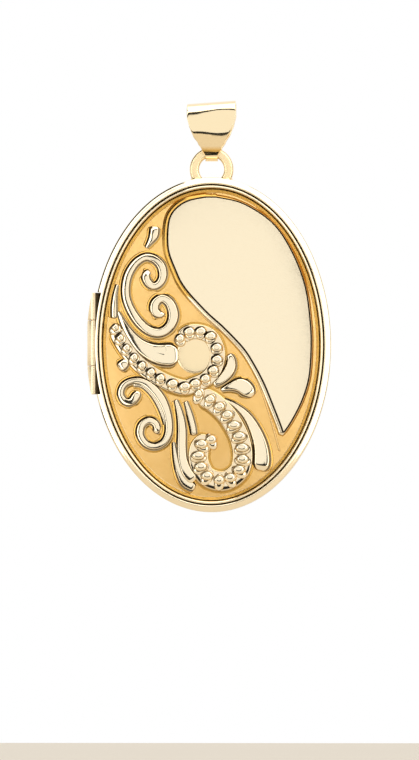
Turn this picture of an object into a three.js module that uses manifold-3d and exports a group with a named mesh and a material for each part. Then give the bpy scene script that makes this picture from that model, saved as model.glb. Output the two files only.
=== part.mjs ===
// An oval picture locket on a folded bail, stored closed and hanging.
// Millimetres, +Z up, -Y to the front, +X to the wearer's left (the viewer's right).
import * as THREE from "three";
import { mergeVertices } from "three/addons/utils/BufferGeometryUtils.js";
import Module from "manifold-3d";

const wasm = await Module();
wasm.setup();

// Case: two oval halves that meet at y = 0.
const CASE_HALF_WIDTH = 11.47;
const CASE_HALF_HEIGHT = 16.0;
const OVAL_STEPS = 48;
const PARTING_GAP = 0.03; // each half stops this far from the parting plane
const SOLDER_GAP = 0.03; // between pieces that are soldered or pressed together
const CUT_DEPTH = 5; // cutting bodies reach this far either side of the parting plane
const PANEL_INSET = 1.47; // rim's outside to the panel's edge
const PANEL_EDGE_TOP = 1.3; // height of the panel's edge over the parting plane
const SHEET = 0.35; // thickness of the struck sheets
const FRONT_DOME = 0.95; // rise of the front panel from its edge to its middle
const BACK_RISE = 0.68; // rise of the back panel to its flat
// The back panel's outside, [share of its half width, drop from the flat].
const BACK_PROFILE = [[0, 0], [0.62, 0], [0.78, 0.1], [0.9, 0.3], [1, BACK_RISE]];
const PANEL_SEAT_DROP = 0.02; // the rim's lip under the panel's edge

// Picture holders, heights over the parting plane.
const HOLDER_INSET = 1.18;
const WINDOW_INSET = 2.9;
const CARD_INSET = 1.5;
const HOLDER_FACE = 0.1;
const HOLDER_THICKNESS = 0.2;
const HOLDER_SKIRT_TOP = 0.58;
const HOLDER_SKIRT = 0.27; // thickness of the skirt
const HOLDER_HEADROOM = 0.04; // between the skirt and the rim above it
const HOLDER_LEDGE = 0.3; // how far the rim reaches in over the cards
const FILM_SPAN = [0.33, 0.41];
const CARD_SPAN = [0.44, 0.56];

// Hinge on the left, with its pin along Z in the parting plane.
const HINGE_X = -11.25;
const KNUCKLE_RADIUS = 0.66;
const HINGE_SEAT_RADIUS = 0.7;
const PIN_RADIUS = 0.17;
const PIN_BORE_RADIUS = 0.2;
const HINGE_TOP = 5.01;
const HINGE_UPPER_JOINT = 2.39;
const HINGE_LOWER_JOINT = -1.99;
const HINGE_BOTTOM = -4.69;
const KNUCKLE_GAP = 0.06;
const HINGE_END_WALL = 0.42; // solid metal at the far end of each outer knuckle
const HINGE_STAND_OUT = 0.52; // how far the filed knuckles stand out of the oval
const RIM_FILED_BACK = 0.4; // how far the rims are filed back beside the knuckles
const FILED_REACH = 2; // from the pin's axis, both ways
const FINE_STEPS = 12; // round small bodies

// Snap on the right, opposite the hinge.
const SNAP_WIDTH = 3.2;
const TONGUE_INSET = [0.86, 1.12];
const TONGUE_DEPTH = 0.5; // how far the tongue reaches into each half
const TONGUE_LIP_RADIUS = 0.09;
const TONGUE_LIP_SUNK = 0.05; // the lip's axis lies this far inside the tongue's face
const TONGUE_LIP_DROP = 0.12; // from the tongue's end to the lip's axis
const TONGUE_SLOT_SPARE = 0.1; // the slots are this much deeper than the tongue
const SNAP_CLEARANCE = 0.05;
const LEDGE_INSET = [0.5, 0.8];
const LEDGE_SPAN = [0.08, 0.24];
const LEDGE_SHORT = 0.1; // the ledge ends this far short of the tongue's ends
const LEDGE_MOUTH = 0.12; // how far its slot is open towards the parting plane
const NAIL_GROOVE_RADIUS = 0.32; // groove along the parting line for a fingernail
const NAIL_GROOVE_HALF_LENGTH = 1.9;
const NAIL_GROOVE_OUT = 0.1; // its axis lies this far outside the oval

// Hanging loop and bail.
const LOOP_Y = 0.55; // the loop stands on the back half
const LOOP_Z = 16.9;
const LOOP_RADIUS = 1.67; // to the middle of the wire
const WIRE_HALF_WIDTH = 0.45;
const WIRE_HALF_DEPTH = 0.4;
const LOOP_STEPS = 32;
const WIRE_STEPS = 10;
const LOOP_FOOT_RADIUS = 0.56;
const LOOP_FOOT_X = 1.44;
const LOOP_FOOT_SPAN = [15, 16.1];
const BAIL_THICKNESS = 0.28;
const BAIL_HEIGHT = 4.93; // middle of the loop's wire to the top of the bail
const BAIL_SKEW = 0.07; // the strip is folded a little askew
const BAIL_SKEW_HEIGHT = 2; // over the wire, where the skew is fully there
const BAIL_BLANK = 5; // width of the strip before it is cut to shape
const BAIL_STEPS = 44;
const EYE_RADIUS = 0.98; // outside of the eye that the bail makes round the wire
const EYE_Z = LOOP_Z + LOOP_RADIUS;
const SEAT_Z = EYE_Z + BAIL_HEIGHT - BAIL_THICKNESS; // where the chain lies, the part's origin

// Finishes.
const GOLD = { color: 0xf3cf8e, roughness: 0.16, metalness: 1 };
const GOLD_SATIN = { color: 0xe8bd66, roughness: 0.4, metalness: 1 };
const CLEAR_FILM = { color: 0xf2f4f5, roughness: 0.08, metalness: 0, transparent: true, opacity: 0.3 };
const CARD = { color: 0xf4efe4, roughness: 0.85, metalness: 0 };

// Heights run away from the parting plane: the front half lies towards -Y, the back half towards +Y.
const FRONT = -1;
const BACK = 1;

function signedVolume(position, index) {
  const corners = [new THREE.Vector3(), new THREE.Vector3(), new THREE.Vector3()];
  let sum = 0;
  for (let i = 0; i < index.count; i += 3) {
    corners.forEach((corner, k) => corner.fromBufferAttribute(position, index.getX(i + k)));
    sum += corners[0].dot(corners[1].clone().cross(corners[2]));
  }
  return sum / 6;
}

// One closed body with shared corners, no slivers, and its faces pointing out.
function closed(geometry) {
  const bare = geometry.clone();
  bare.deleteAttribute("normal");
  bare.deleteAttribute("uv");
  const merged = mergeVertices(bare, 1e-4);
  const index = merged.index;
  const kept = [];
  for (let i = 0; i < index.count; i += 3) {
    const face = [index.getX(i), index.getX(i + 1), index.getX(i + 2)];
    if (new Set(face).size === 3) kept.push(...face);
  }
  merged.setIndex(kept);
  if (signedVolume(merged.attributes.position, merged.index) < 0) merged.setIndex(kept.reverse());
  return merged;
}

function solid(geometry) {
  const shape = closed(geometry);
  const vertProperties = new Float32Array(shape.attributes.position.array);
  const triVerts = new Uint32Array(shape.index.array);
  return new wasm.Manifold(new wasm.Mesh({ numProp: 3, vertProperties, triVerts }));
}

function geometryOf(manifold) {
  const mesh = manifold.getMesh();
  const geometry = new THREE.BufferGeometry();
  geometry.setAttribute("position", new THREE.BufferAttribute(new Float32Array(mesh.vertProperties), 3));
  geometry.setIndex([...mesh.triVerts]);
  geometry.computeVertexNormals();
  return geometry;
}

function ovalPoint(angle, inset) {
  return [(CASE_HALF_WIDTH - inset) * Math.cos(angle), (CASE_HALF_HEIGHT - inset) * Math.sin(angle)];
}

// A closed section of [inset, height] points carried round the oval.
function ovalRing(section, side) {
  const positions = [];
  const index = [];
  const count = section.length;
  for (let i = 0; i < OVAL_STEPS; i += 1) {
    const angle = (2 * Math.PI * i) / OVAL_STEPS;
    const next = ((i + 1) % OVAL_STEPS) * count;
    section.forEach(([inset, height], k) => {
      const [x, z] = ovalPoint(angle, inset);
      positions.push(x, side * height, z);
      const here = i * count + k;
      const there = next + k;
      const along = (k + 1) % count;
      index.push(here, there, i * count + along, there, next + along, i * count + along);
    });
  }
  const geometry = new THREE.BufferGeometry();
  geometry.setAttribute("position", new THREE.Float32BufferAttribute(positions, 3));
  geometry.setIndex(index);
  return closed(geometry);
}

// A turned body stretched into the oval: the profile is [share of the half width, height] points.
function ovalTurned(profile, inset, side) {
  const points = profile.map(([share, height]) => new THREE.Vector2(share, side * height));
  const geometry = new THREE.LatheGeometry(points, OVAL_STEPS);
  geometry.scale(CASE_HALF_WIDTH - inset, 1, CASE_HALF_HEIGHT - inset);
  return closed(geometry);
}

function ovalPlate(inset, [bottom, top], side) {
  return ovalTurned([[0, bottom], [1, bottom], [1, top], [0, top]], inset, side);
}

function box(x, y, z) {
  const geometry = new THREE.BoxGeometry(x[1] - x[0], y[1] - y[0], z[1] - z[0]);
  geometry.translate((x[0] + x[1]) / 2, (y[0] + y[1]) / 2, (z[0] + z[1]) / 2);
  return geometry;
}

// A round bar along Z.
function bar(radius, x, y, [low, high], steps = 2 * FINE_STEPS) {
  const geometry = new THREE.CylinderGeometry(radius, radius, high - low, steps);
  geometry.rotateX(Math.PI / 2);
  geometry.translate(x, y, (low + high) / 2);
  return geometry;
}

// An outline in the X-Z plane, given depth along Y.
function frontPrism(shape, [near, far], steps = FINE_STEPS) {
  const options = { depth: far - near, bevelEnabled: false, curveSegments: steps };
  const geometry = new THREE.ExtrudeGeometry(shape, options);
  geometry.rotateX(Math.PI / 2);
  geometry.translate(0, far, 0);
  return geometry;
}

// ---- Rims ----

// Everything inside the moulding: the seat for the panel, its ledge and the picture holder's recess.
const RIM_INSIDE = [
  [PANEL_INSET - SOLDER_GAP, PANEL_EDGE_TOP - PANEL_SEAT_DROP],
  [PANEL_INSET - SOLDER_GAP, PANEL_EDGE_TOP - SHEET - SOLDER_GAP],
  [CARD_INSET + HOLDER_LEDGE, PANEL_EDGE_TOP - SHEET - SOLDER_GAP],
  [CARD_INSET + HOLDER_LEDGE, HOLDER_SKIRT_TOP + HOLDER_HEADROOM],
  [HOLDER_INSET - SOLDER_GAP, HOLDER_SKIRT_TOP + HOLDER_HEADROOM],
  [HOLDER_INSET - SOLDER_GAP, PARTING_GAP],
];

const RIM_OUTSIDE = [[0.08, PARTING_GAP], [0, 0.12], [0, 1.25]];

// Outer bead, groove, inner bead, groove.
const FRONT_MOULDING = [
  [0.07, 1.5], [0.2, 1.67], [0.34, 1.72], [0.5, 1.65], [0.61, 1.5],
  [0.67, 1.41], [0.74, 1.5], [0.86, 1.56], [0.98, 1.5], [1.04, 1.4],
];

const BACK_MOULDING = [[0.1, 1.5], [0.32, 1.66], [0.6, 1.66], [0.86, 1.5], [1.04, 1.38]];

function hingeSeat() {
  return solid(bar(HINGE_SEAT_RADIUS, HINGE_X, 0, [HINGE_BOTTOM - KNUCKLE_GAP, HINGE_TOP + KNUCKLE_GAP]));
}

// The metal filed off the outside of a rim where the knuckles lie.
function filedOff() {
  const height = [HINGE_BOTTOM - KNUCKLE_GAP, HINGE_TOP + KNUCKLE_GAP];
  const x = [HINGE_X - FILED_REACH, HINGE_X + FILED_REACH];
  const strip = solid(box(x, [1 - CUT_DEPTH, CUT_DEPTH - 1], height));
  return strip.subtract(solid(ovalPlate(RIM_FILED_BACK, [-CUT_DEPTH, CUT_DEPTH], BACK)));
}

// The slot in a rim's inner wall that the tongue lies in.
function tongueSlot(side, depth) {
  const halfWidth = SNAP_WIDTH / 2 + SNAP_CLEARANCE;
  const x = TONGUE_INSET.map((inset) => CASE_HALF_WIDTH - inset);
  const y = [0, side * depth].sort((a, b) => a - b);
  return solid(box([x[1] - 2 * SNAP_CLEARANCE, x[0] + SNAP_CLEARANCE], y, [-halfWidth, halfWidth]));
}

function nailGroove() {
  const span = [-NAIL_GROOVE_HALF_LENGTH, NAIL_GROOVE_HALF_LENGTH];
  return solid(bar(NAIL_GROOVE_RADIUS, CASE_HALF_WIDTH + NAIL_GROOVE_OUT, 0, span, FINE_STEPS));
}

function rim(moulding, side) {
  const body = solid(ovalRing([...RIM_OUTSIDE, ...moulding, ...RIM_INSIDE], side));
  const cuts = [hingeSeat(), filedOff(), tongueSlot(side, TONGUE_DEPTH + TONGUE_SLOT_SPARE), nailGroove()];
  return cuts.reduce((left, cut) => left.subtract(cut), body);
}

function frontRim() {
  return geometryOf(rim(FRONT_MOULDING, FRONT));
}

function ledgeBox(margin) {
  const x = LEDGE_INSET.map((inset) => CASE_HALF_WIDTH - inset);
  const halfWidth = SNAP_WIDTH / 2 - LEDGE_SHORT + margin;
  const y = [LEDGE_SPAN[0] - margin, LEDGE_SPAN[1] + margin];
  return box([x[1] - margin, x[0] + margin], y, [-halfWidth, halfWidth]);
}

function backRim() {
  const slot = solid(ledgeBox(SOLDER_GAP));
  const mouth = solid(ledgeBox(SOLDER_GAP).translate(0, -LEDGE_MOUTH, 0));
  return geometryOf(rim(BACK_MOULDING, BACK).subtract(slot).subtract(mouth));
}

// ---- Panels ----

function domeHeight(share) {
  return PANEL_EDGE_TOP + FRONT_DOME * (1 - share * share);
}

// Points down the dome from the middle to the edge, raised by lift.
function domeProfile(lift, rings = 4) {
  return Array.from({ length: rings + 1 }, (_, i) => [i / rings, domeHeight(i / rings) + lift]);
}

function domeShell(top, bottom) {
  return solid(ovalTurned([...domeProfile(top), ...domeProfile(bottom).reverse()], PANEL_INSET, FRONT));
}

function onDome(x, z, lift) {
  const share = Math.hypot(x / (CASE_HALF_WIDTH - PANEL_INSET), z / (CASE_HALF_HEIGHT - PANEL_INSET));
  return new THREE.Vector3(x, -domeHeight(share) - lift, z);
}

// The plain polished panel: a comma whose head fills the top and whose tail runs down the right side.
const COMMA_TIP = [6.93, -8.26];
const COMMA_LEFT_EDGE = [
  [6.0, -5.9], [4.0, -1.46], [1.42, 1.65], [-2.55, 5.5], [-3.94, 9.15], [-3.48, 12.8], [-0.1, 14.0],
];
const COMMA_RIGHT_EDGE = [[3.1, 13.4], [7.2, 9.4], [9.3, 2.1], [9.3, -3.15], [8.4, -5.9], COMMA_TIP];
const COMMA_LIFT = 0.28;

function commaPanel() {
  const corners = [COMMA_TIP, ...COMMA_LEFT_EDGE, ...COMMA_RIGHT_EDGE];
  const points = corners.map(([x, z]) => new THREE.Vector2(x, z));
  const outline = new THREE.Shape(new THREE.SplineCurve(points).getPoints(30).slice(0, -1));
  return solid(frontPrism(outline, [-CUT_DEPTH, 0])).intersect(domeShell(COMMA_LIFT, -SHEET / 2));
}

// Struck ridges: centre line, radius of the ridge and steps along it.
// The scrolls run from the eye of one spiral to the eye of the other.
const UPPER_SCROLL = [
  [-6.0, 6.7], [-5.4, 5.7], [-4.6, 6.6], [-5.2, 8.1], [-6.6, 8.5], [-8.1, 6.4], [-8.0, 4.2], [-6.4, 1.8],
  [-4.7, 1.3], [-3.5, 2.5], [-3.7, 4.2], [-4.9, 4.8], [-5.6, 3.7], [-5.0, 2.8],
];
const LOWER_SCROLL = [
  [-7.0, -4.6], [-7.5, -5.6], [-8.5, -5.0], [-8.2, -3.6], [-7.0, -3.1], [-5.2, -4.0], [-4.1, -5.8],
  [-3.8, -7.9], [-4.7, -9.5], [-6.2, -9.6], [-6.9, -8.3], [-6.1, -7.2], [-5.2, -7.6],
];
const LEAF = [[-8.9, 4.4], [-8.0, 2.1], [-6.3, 0.1], [-4.0, -0.8]];
const LONG_LEFT_LEAF = [[-3.2, -5.4], [-2.9, -8.2], [-2.6, -10.9], [-1.7, -13.1]];
const LONG_RIGHT_LEAF = [[1.7, -5.3], [3.6, -6.6], [4.7, -9.1], [4.9, -11.4]];
const BEAD_LOOP = [
  [-9.1, 1.7], [-7.9, -0.6], [-6.3, -2.2], [-3.7, -3.4], [-1.4, -3.6], [0.2, -2.6], [0.8, -0.7], [-0.9, 1.3],
  [-2.9, 0.9],
];
const BEAD_CROOK = [
  [-1.2, -4.6], [0.9, -5.7], [2.4, -7.6], [3.1, -9.9],
  [2.6, -12.0], [0.6, -12.8], [-1.0, -11.5], [0.2, -8.9],
];
const DROP = [[-6.1, 9.5], [-5.4, 11.3]];
const RIDGES = [
  [UPPER_SCROLL, 0.32, 26], [LOWER_SCROLL, 0.3, 24], [LEAF, 0.42, 5], [LONG_LEFT_LEAF, 0.3, 4],
  [LONG_RIGHT_LEAF, 0.4, 5], [DROP, 0.34, 1],
];
const RIDGE_SIDES = 6;
const BEAD_RADIUS = 0.42;
const BEAD_LIFT = 0.04;
const BEAD_ROWS = [[BEAD_LOOP, 18], [BEAD_CROOK, 17]];

function onDomeCurve(points, lift) {
  return new THREE.CatmullRomCurve3(points.map(([x, z]) => onDome(x, z, lift)));
}

// A struck ridge: a rounded bar half sunk in the sheet.
function ridge(points, radius, steps) {
  const section = new THREE.Shape(Array.from({ length: RIDGE_SIDES }, (_, i) => {
    const angle = (2 * Math.PI * i) / RIDGE_SIDES;
    return new THREE.Vector2(radius * Math.cos(angle), radius * Math.sin(angle));
  }));
  const options = { steps, bevelEnabled: false, extrudePath: onDomeCurve(points, 0) };
  return solid(new THREE.ExtrudeGeometry(section, options));
}

function beadRow(points, count) {
  return onDomeCurve(points, BEAD_LIFT).getSpacedPoints(count - 1).map((place) => {
    const bead = new THREE.IcosahedronGeometry(BEAD_RADIUS, 0);
    return solid(bead.translate(place.x, place.y, place.z));
  });
}

function frontPanel() {
  const relief = [
    commaPanel(),
    ...RIDGES.map(([points, radius, steps]) => ridge(points, radius, steps)),
    ...BEAD_ROWS.flatMap(([points, count]) => beadRow(points, count)),
  ];
  const sheet = domeShell(0, -SHEET);
  const struck = relief.reduce((panel, piece) => panel.add(piece), sheet);
  // The back of the sheet is smooth, so nothing reaches through it.
  const wide = 1.1; // beyond the panel's edge
  const below = [...domeProfile(-SHEET), [wide, PANEL_EDGE_TOP - SHEET], [wide, 0], [0, 0]];
  const under = ovalTurned(below, PANEL_INSET, FRONT);
  return geometryOf(struck.subtract(solid(under)));
}

function backPanel() {
  const top = PANEL_EDGE_TOP + BACK_RISE;
  const outer = BACK_PROFILE.map(([share, drop]) => [share, top - drop]);
  const inner = outer.map(([share, height]) => [share, height - SHEET]).reverse();
  return ovalTurned([...outer, ...inner], PANEL_INSET, BACK);
}

// ---- Picture holders ----

function photoFrame(side) {
  const under = HOLDER_FACE + HOLDER_THICKNESS;
  const skirt = HOLDER_INSET + HOLDER_SKIRT;
  return ovalRing([
    [HOLDER_INSET, HOLDER_FACE], [WINDOW_INSET, HOLDER_FACE], [WINDOW_INSET, under],
    [skirt, under], [skirt, HOLDER_SKIRT_TOP], [HOLDER_INSET, HOLDER_SKIRT_TOP],
  ], side);
}

// ---- Hinge ----

// A tube cut from the hinge stock and filed to the oval outside; ends that aren't open stay solid.
function knuckle(low, high, boreLow, boreHigh) {
  const tube = solid(bar(KNUCKLE_RADIUS, HINGE_X, 0, [low, high]));
  const bore = solid(bar(PIN_BORE_RADIUS, HINGE_X, 0, [boreLow, boreHigh], FINE_STEPS));
  const filing = solid(ovalPlate(-HINGE_STAND_OUT, [-CUT_DEPTH, CUT_DEPTH], BACK));
  return geometryOf(tube.subtract(bore).intersect(filing));
}

const HALF_GAP = KNUCKLE_GAP / 2;
const PIN_SPAN = [HINGE_BOTTOM + HINGE_END_WALL + HALF_GAP, HINGE_TOP - HINGE_END_WALL - HALF_GAP];

function upperKnuckle() {
  const low = HINGE_UPPER_JOINT + HALF_GAP;
  return knuckle(low, HINGE_TOP, low - 1, HINGE_TOP - HINGE_END_WALL);
}

function middleKnuckle() {
  const [low, high] = [HINGE_LOWER_JOINT + HALF_GAP, HINGE_UPPER_JOINT - HALF_GAP];
  return knuckle(low, high, low - 1, high + 1);
}

function lowerKnuckle() {
  const high = HINGE_LOWER_JOINT - HALF_GAP;
  return knuckle(HINGE_BOTTOM, high, HINGE_BOTTOM + HINGE_END_WALL, high + 1);
}

// ---- Snap ----

// A flat spring with a small rounded lip on its outside, which passes just under the ledge.
function snapTongue() {
  const [outside, inside] = TONGUE_INSET.map((inset) => CASE_HALF_WIDTH - inset);
  const halfWidth = SNAP_WIDTH / 2;
  const blade = solid(box([inside, outside], [-TONGUE_DEPTH, TONGUE_DEPTH], [-halfWidth, halfWidth]));
  const lipY = TONGUE_DEPTH - TONGUE_LIP_DROP;
  const lip = bar(TONGUE_LIP_RADIUS, outside - TONGUE_LIP_SUNK, lipY, [-halfWidth, halfWidth], FINE_STEPS);
  return geometryOf(blade.add(solid(lip)));
}

// ---- Hanging loop and bail ----

function aboveCase(manifold) {
  return manifold.subtract(solid(ovalPlate(-SOLDER_GAP, [-CUT_DEPTH, CUT_DEPTH], BACK)));
}

function hangingLoop() {
  const section = Array.from({ length: WIRE_STEPS }, (_, i) => {
    const angle = (2 * Math.PI * i) / WIRE_STEPS;
    return new THREE.Vector2(
      LOOP_RADIUS + WIRE_HALF_WIDTH * Math.cos(angle),
      WIRE_HALF_DEPTH * Math.sin(angle),
    );
  });
  const ring = new THREE.LatheGeometry([...section, section[0]], LOOP_STEPS);
  ring.translate(0, LOOP_Y, LOOP_Z);
  let loop = solid(ring);
  [-1, 1].forEach((side) => {
    const foot = bar(LOOP_FOOT_RADIUS, side * LOOP_FOOT_X, LOOP_Y, LOOP_FOOT_SPAN, FINE_STEPS);
    loop = loop.add(solid(foot));
  });
  return geometryOf(aboveCase(loop));
}

// Middle line of the strip seen from the side, [out from the middle, height over the wire].
const BAIL_LEG = [[0.84, 0], [1.02, 0.95], [1.5, 1.8], [1.66, 2.8], [1.45, 3.8], [0.85, 4.52]];
// Half width of the strip at each height.
const BAIL_WIDTHS = [
  [-1.2, 0.58], [-0.45, 0.6], [0.35, 1.0], [0.95, 1.36], [1.75, 1.84], [2.6, 2.15], [3.4, 2.34], [5.4, 2.32],
];

function bailStrip() {
  const eye = EYE_RADIUS - BAIL_THICKNESS / 2;
  const under = [-45, 0, 45].map((degrees) => {
    const angle = THREE.MathUtils.degToRad(degrees);
    return [Math.sin(angle) * eye, -Math.cos(angle) * eye];
  });
  const right = [...BAIL_LEG, [0, BAIL_HEIGHT - BAIL_THICKNESS / 2]];
  const left = [...BAIL_LEG].reverse().map(([out, height]) => [-out, height]);
  const loop = [...under, ...right, ...left].map(([y, z]) => new THREE.Vector3(y, z, 0));
  const middle = new THREE.CatmullRomCurve3(loop, true);
  const edge = (side) => Array.from({ length: BAIL_STEPS }, (_, i) => {
    const point = middle.getPointAt(i / BAIL_STEPS);
    const along = middle.getTangentAt(i / BAIL_STEPS);
    const half = (side * BAIL_THICKNESS) / 2;
    return new THREE.Vector2(point.x + along.y * half, point.y - along.x * half);
  });
  const outline = new THREE.Shape(edge(1));
  outline.holes.push(new THREE.Path(edge(-1)));
  const options = { depth: BAIL_BLANK, steps: 2, bevelEnabled: false };
  const band = new THREE.ExtrudeGeometry(outline, options);
  band.translate(0, 0, -BAIL_BLANK / 2);
  // The side view's axes become Y and Z, and the strip's width runs along X.
  band.applyMatrix4(new THREE.Matrix4().set(0, 0, 1, 0, 1, 0, 0, 0, 0, 1, 0, 0, 0, 0, 0, 1));
  const place = band.attributes.position;
  for (let i = 0; i < place.count; i += 1) {
    const askew = BAIL_SKEW * THREE.MathUtils.clamp(place.getZ(i) / BAIL_SKEW_HEIGHT, 0, 1);
    place.setZ(i, place.getZ(i) + place.getX(i) * askew);
  }
  return solid(band);
}

function bail() {
  const rightSide = BAIL_WIDTHS.map(([height, half]) => new THREE.Vector2(half, height));
  const leftSide = [...rightSide].reverse().map((point) => new THREE.Vector2(-point.x, point.y));
  const silhouette = new THREE.Shape();
  silhouette.moveTo(rightSide[0].x, rightSide[0].y);
  silhouette.splineThru(rightSide.slice(1));
  silhouette.lineTo(leftSide[0].x, leftSide[0].y);
  silhouette.splineThru(leftSide.slice(1));
  const strip = bailStrip().intersect(solid(frontPrism(silhouette, [-CUT_DEPTH, CUT_DEPTH], 2)));
  return geometryOf(strip.translate([0, LOOP_Y, EYE_Z]));
}

// ---- Assembly ----

function piece(name, geometry, finish) {
  geometry.computeVertexNormals();
  const mesh = new THREE.Mesh(geometry, new THREE.MeshStandardMaterial(finish));
  mesh.name = name;
  return mesh;
}

function frontHalf() {
  const half = new THREE.Group();
  half.add(
    piece("front_rim", frontRim(), GOLD),
    piece("front_panel", frontPanel(), GOLD_SATIN),
    piece("front_photo_frame", photoFrame(FRONT), GOLD),
    piece("front_photo_window", ovalPlate(CARD_INSET, FILM_SPAN, FRONT), CLEAR_FILM),
    piece("front_photo_card", ovalPlate(CARD_INSET, CARD_SPAN, FRONT), CARD),
    piece("hinge_knuckle_middle", middleKnuckle(), GOLD),
    piece("snap_tongue", snapTongue(), GOLD),
  );
  return half;
}

function backHalf() {
  const half = new THREE.Group();
  half.add(
    piece("back_rim", backRim(), GOLD),
    piece("back_panel", backPanel(), GOLD),
    piece("back_photo_frame", photoFrame(BACK), GOLD),
    piece("back_photo_window", ovalPlate(CARD_INSET, FILM_SPAN, BACK), CLEAR_FILM),
    piece("back_photo_card", ovalPlate(CARD_INSET, CARD_SPAN, BACK), CARD),
    piece("hinge_knuckle_upper", upperKnuckle(), GOLD),
    piece("hinge_knuckle_lower", lowerKnuckle(), GOLD),
    piece("hinge_pin", bar(PIN_RADIUS, HINGE_X, 0, PIN_SPAN, FINE_STEPS), GOLD),
    piece("catch_ledge", ledgeBox(0), GOLD),
    piece("hanging_loop", hangingLoop(), GOLD),
  );
  return half;
}

const locket = new THREE.Group();
locket.add(frontHalf(), backHalf(), piece("bail", bail(), GOLD));
locket.position.set(0, -LOOP_Y, -SEAT_Z);

export default locket;
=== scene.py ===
"""An oval gold locket on a folded bail: the looks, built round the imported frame."""
import math

import bmesh
import bpy
from mathutils import Matrix, Vector


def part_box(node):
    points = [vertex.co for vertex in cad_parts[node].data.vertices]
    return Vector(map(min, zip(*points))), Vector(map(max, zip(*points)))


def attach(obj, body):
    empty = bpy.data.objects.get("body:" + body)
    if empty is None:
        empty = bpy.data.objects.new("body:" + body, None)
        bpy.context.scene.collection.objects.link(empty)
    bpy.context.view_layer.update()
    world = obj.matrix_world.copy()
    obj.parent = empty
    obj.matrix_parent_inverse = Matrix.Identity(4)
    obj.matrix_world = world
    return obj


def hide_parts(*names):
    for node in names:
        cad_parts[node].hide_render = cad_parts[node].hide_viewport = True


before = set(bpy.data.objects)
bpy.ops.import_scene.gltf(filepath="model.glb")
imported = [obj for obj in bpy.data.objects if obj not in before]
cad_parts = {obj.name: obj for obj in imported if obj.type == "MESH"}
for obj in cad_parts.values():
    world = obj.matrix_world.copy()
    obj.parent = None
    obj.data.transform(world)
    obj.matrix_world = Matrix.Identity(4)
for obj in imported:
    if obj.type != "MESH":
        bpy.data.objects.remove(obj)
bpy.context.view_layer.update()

# Shapes are drawn in millimetres about the middle of the case: x to the right, z up, and a height
# that runs away from the parting plane, towards -y on the front half and +y on the back half.
MM = 0.001
FRONT, BACK = -1, 1
PARTING_GAP = 0.03
RIM_LOW, RIM_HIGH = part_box("back_rim")
PARTING_Y = RIM_LOW.y - PARTING_GAP * MM
CASE_Z = (RIM_LOW.z + RIM_HIGH.z) / 2
HALF_WIDTH = RIM_HIGH.x / MM
HALF_HEIGHT = (RIM_HIGH.z - RIM_LOW.z) / 2 / MM
PIN_X = (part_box("hinge_pin")[0].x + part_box("hinge_pin")[1].x) / 2 / MM

PANEL_INSET = 1.47
PANEL_EDGE = 1.3
SHEET = 0.35
DOME = 0.95
BACK_RISE = 0.68
BACK_FLAT = 0.62
CARD_INSET = 1.5
HOLDER_INSET = 1.18
HOLDER_TOP = 0.58
SOLDER_GAP = 0.03
CUT_DEPTH = 4  # cutting slabs reach this far either side of the parting plane


def dome(x, z):
    """Height of the front sheet over the parting plane."""
    across, up = x / (HALF_WIDTH - PANEL_INSET), z / (HALF_HEIGHT - PANEL_INSET)
    return PANEL_EDGE + DOME * (1 - across * across - up * up)


# ---- Camera and studio ----

LENS, SENSOR = 250, 36
SEEN_HEIGHT = 0.0728  # of the subject, in metres
AZIMUTH, ELEVATION = 1.5, -2.0
TARGET = Vector((-0.00019, PARTING_Y, CASE_Z - 0.00334))

RING_LIGHT = 1.5
HOOP_RADIUS, NEAR_HOOP_RADIUS, LOW_HOOP_RADIUS = 0.4, 0.39, 0.15
# Curved cards: name, near and far edge off the lens axis, start and sweep round it, radius.
LIGHT_HOOPS = (("ring_light", 29, 46, -48, 276, HOOP_RADIUS), ("top_light", 46, 98, 68, 40, HOOP_RADIUS))
FLAG_HOOPS = (
    ("flag_top", 28, 32, 62, 56, NEAR_HOOP_RADIUS), ("flag_ring", 22.5, 28.5, -48, 276, NEAR_HOOP_RADIUS),
    ("flag_low", 21, 31.5, 225, 90, LOW_HOOP_RADIUS), ("flag_side", 48, 106, 108, 58, HOOP_RADIUS),
    ("flag_side_low", 48, 106, 194, 16, HOOP_RADIUS), ("flag_rest", 76, 90, 210, 218, HOOP_RADIUS),
)


def camera():
    data = bpy.data.cameras.new("camera")
    data.lens = LENS
    data.sensor_width = SENSOR
    data.clip_start, data.clip_end = 0.01, 50
    distance = data.lens / data.sensor_width * SEEN_HEIGHT
    azimuth, elevation = math.radians(AZIMUTH), math.radians(ELEVATION)
    away = Vector((math.sin(azimuth) * math.cos(elevation), -math.cos(azimuth) * math.cos(elevation),
                   math.sin(elevation)))
    obj = bpy.data.objects.new("camera", data)
    obj.location = TARGET + away * distance
    obj.rotation_euler = (-away).to_track_quat("-Z", "Y").to_euler()
    bpy.context.scene.collection.objects.link(obj)
    bpy.context.scene.camera = obj


def plain_material(name, colour, roughness):
    material = bpy.data.materials.new(name)
    material.use_nodes = True
    shader = material.node_tree.nodes["Principled BSDF"]
    shader.inputs["Base Color"].default_value = (*colour, 1)
    shader.inputs["Roughness"].default_value = roughness
    return material


def card(name, centre, size, normal, material):
    """A flat studio card."""
    bm = bmesh.new()
    bmesh.ops.create_grid(bm, x_segments=1, y_segments=1, size=0.5)
    bmesh.ops.scale(bm, vec=(*size, 1), verts=bm.verts)
    turn = Vector(normal).to_track_quat("Z", "Y").to_matrix().to_4x4()
    bmesh.ops.transform(bm, matrix=Matrix.Translation(centre) @ turn, verts=bm.verts)
    return stage_piece(bm, name, material)


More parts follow.
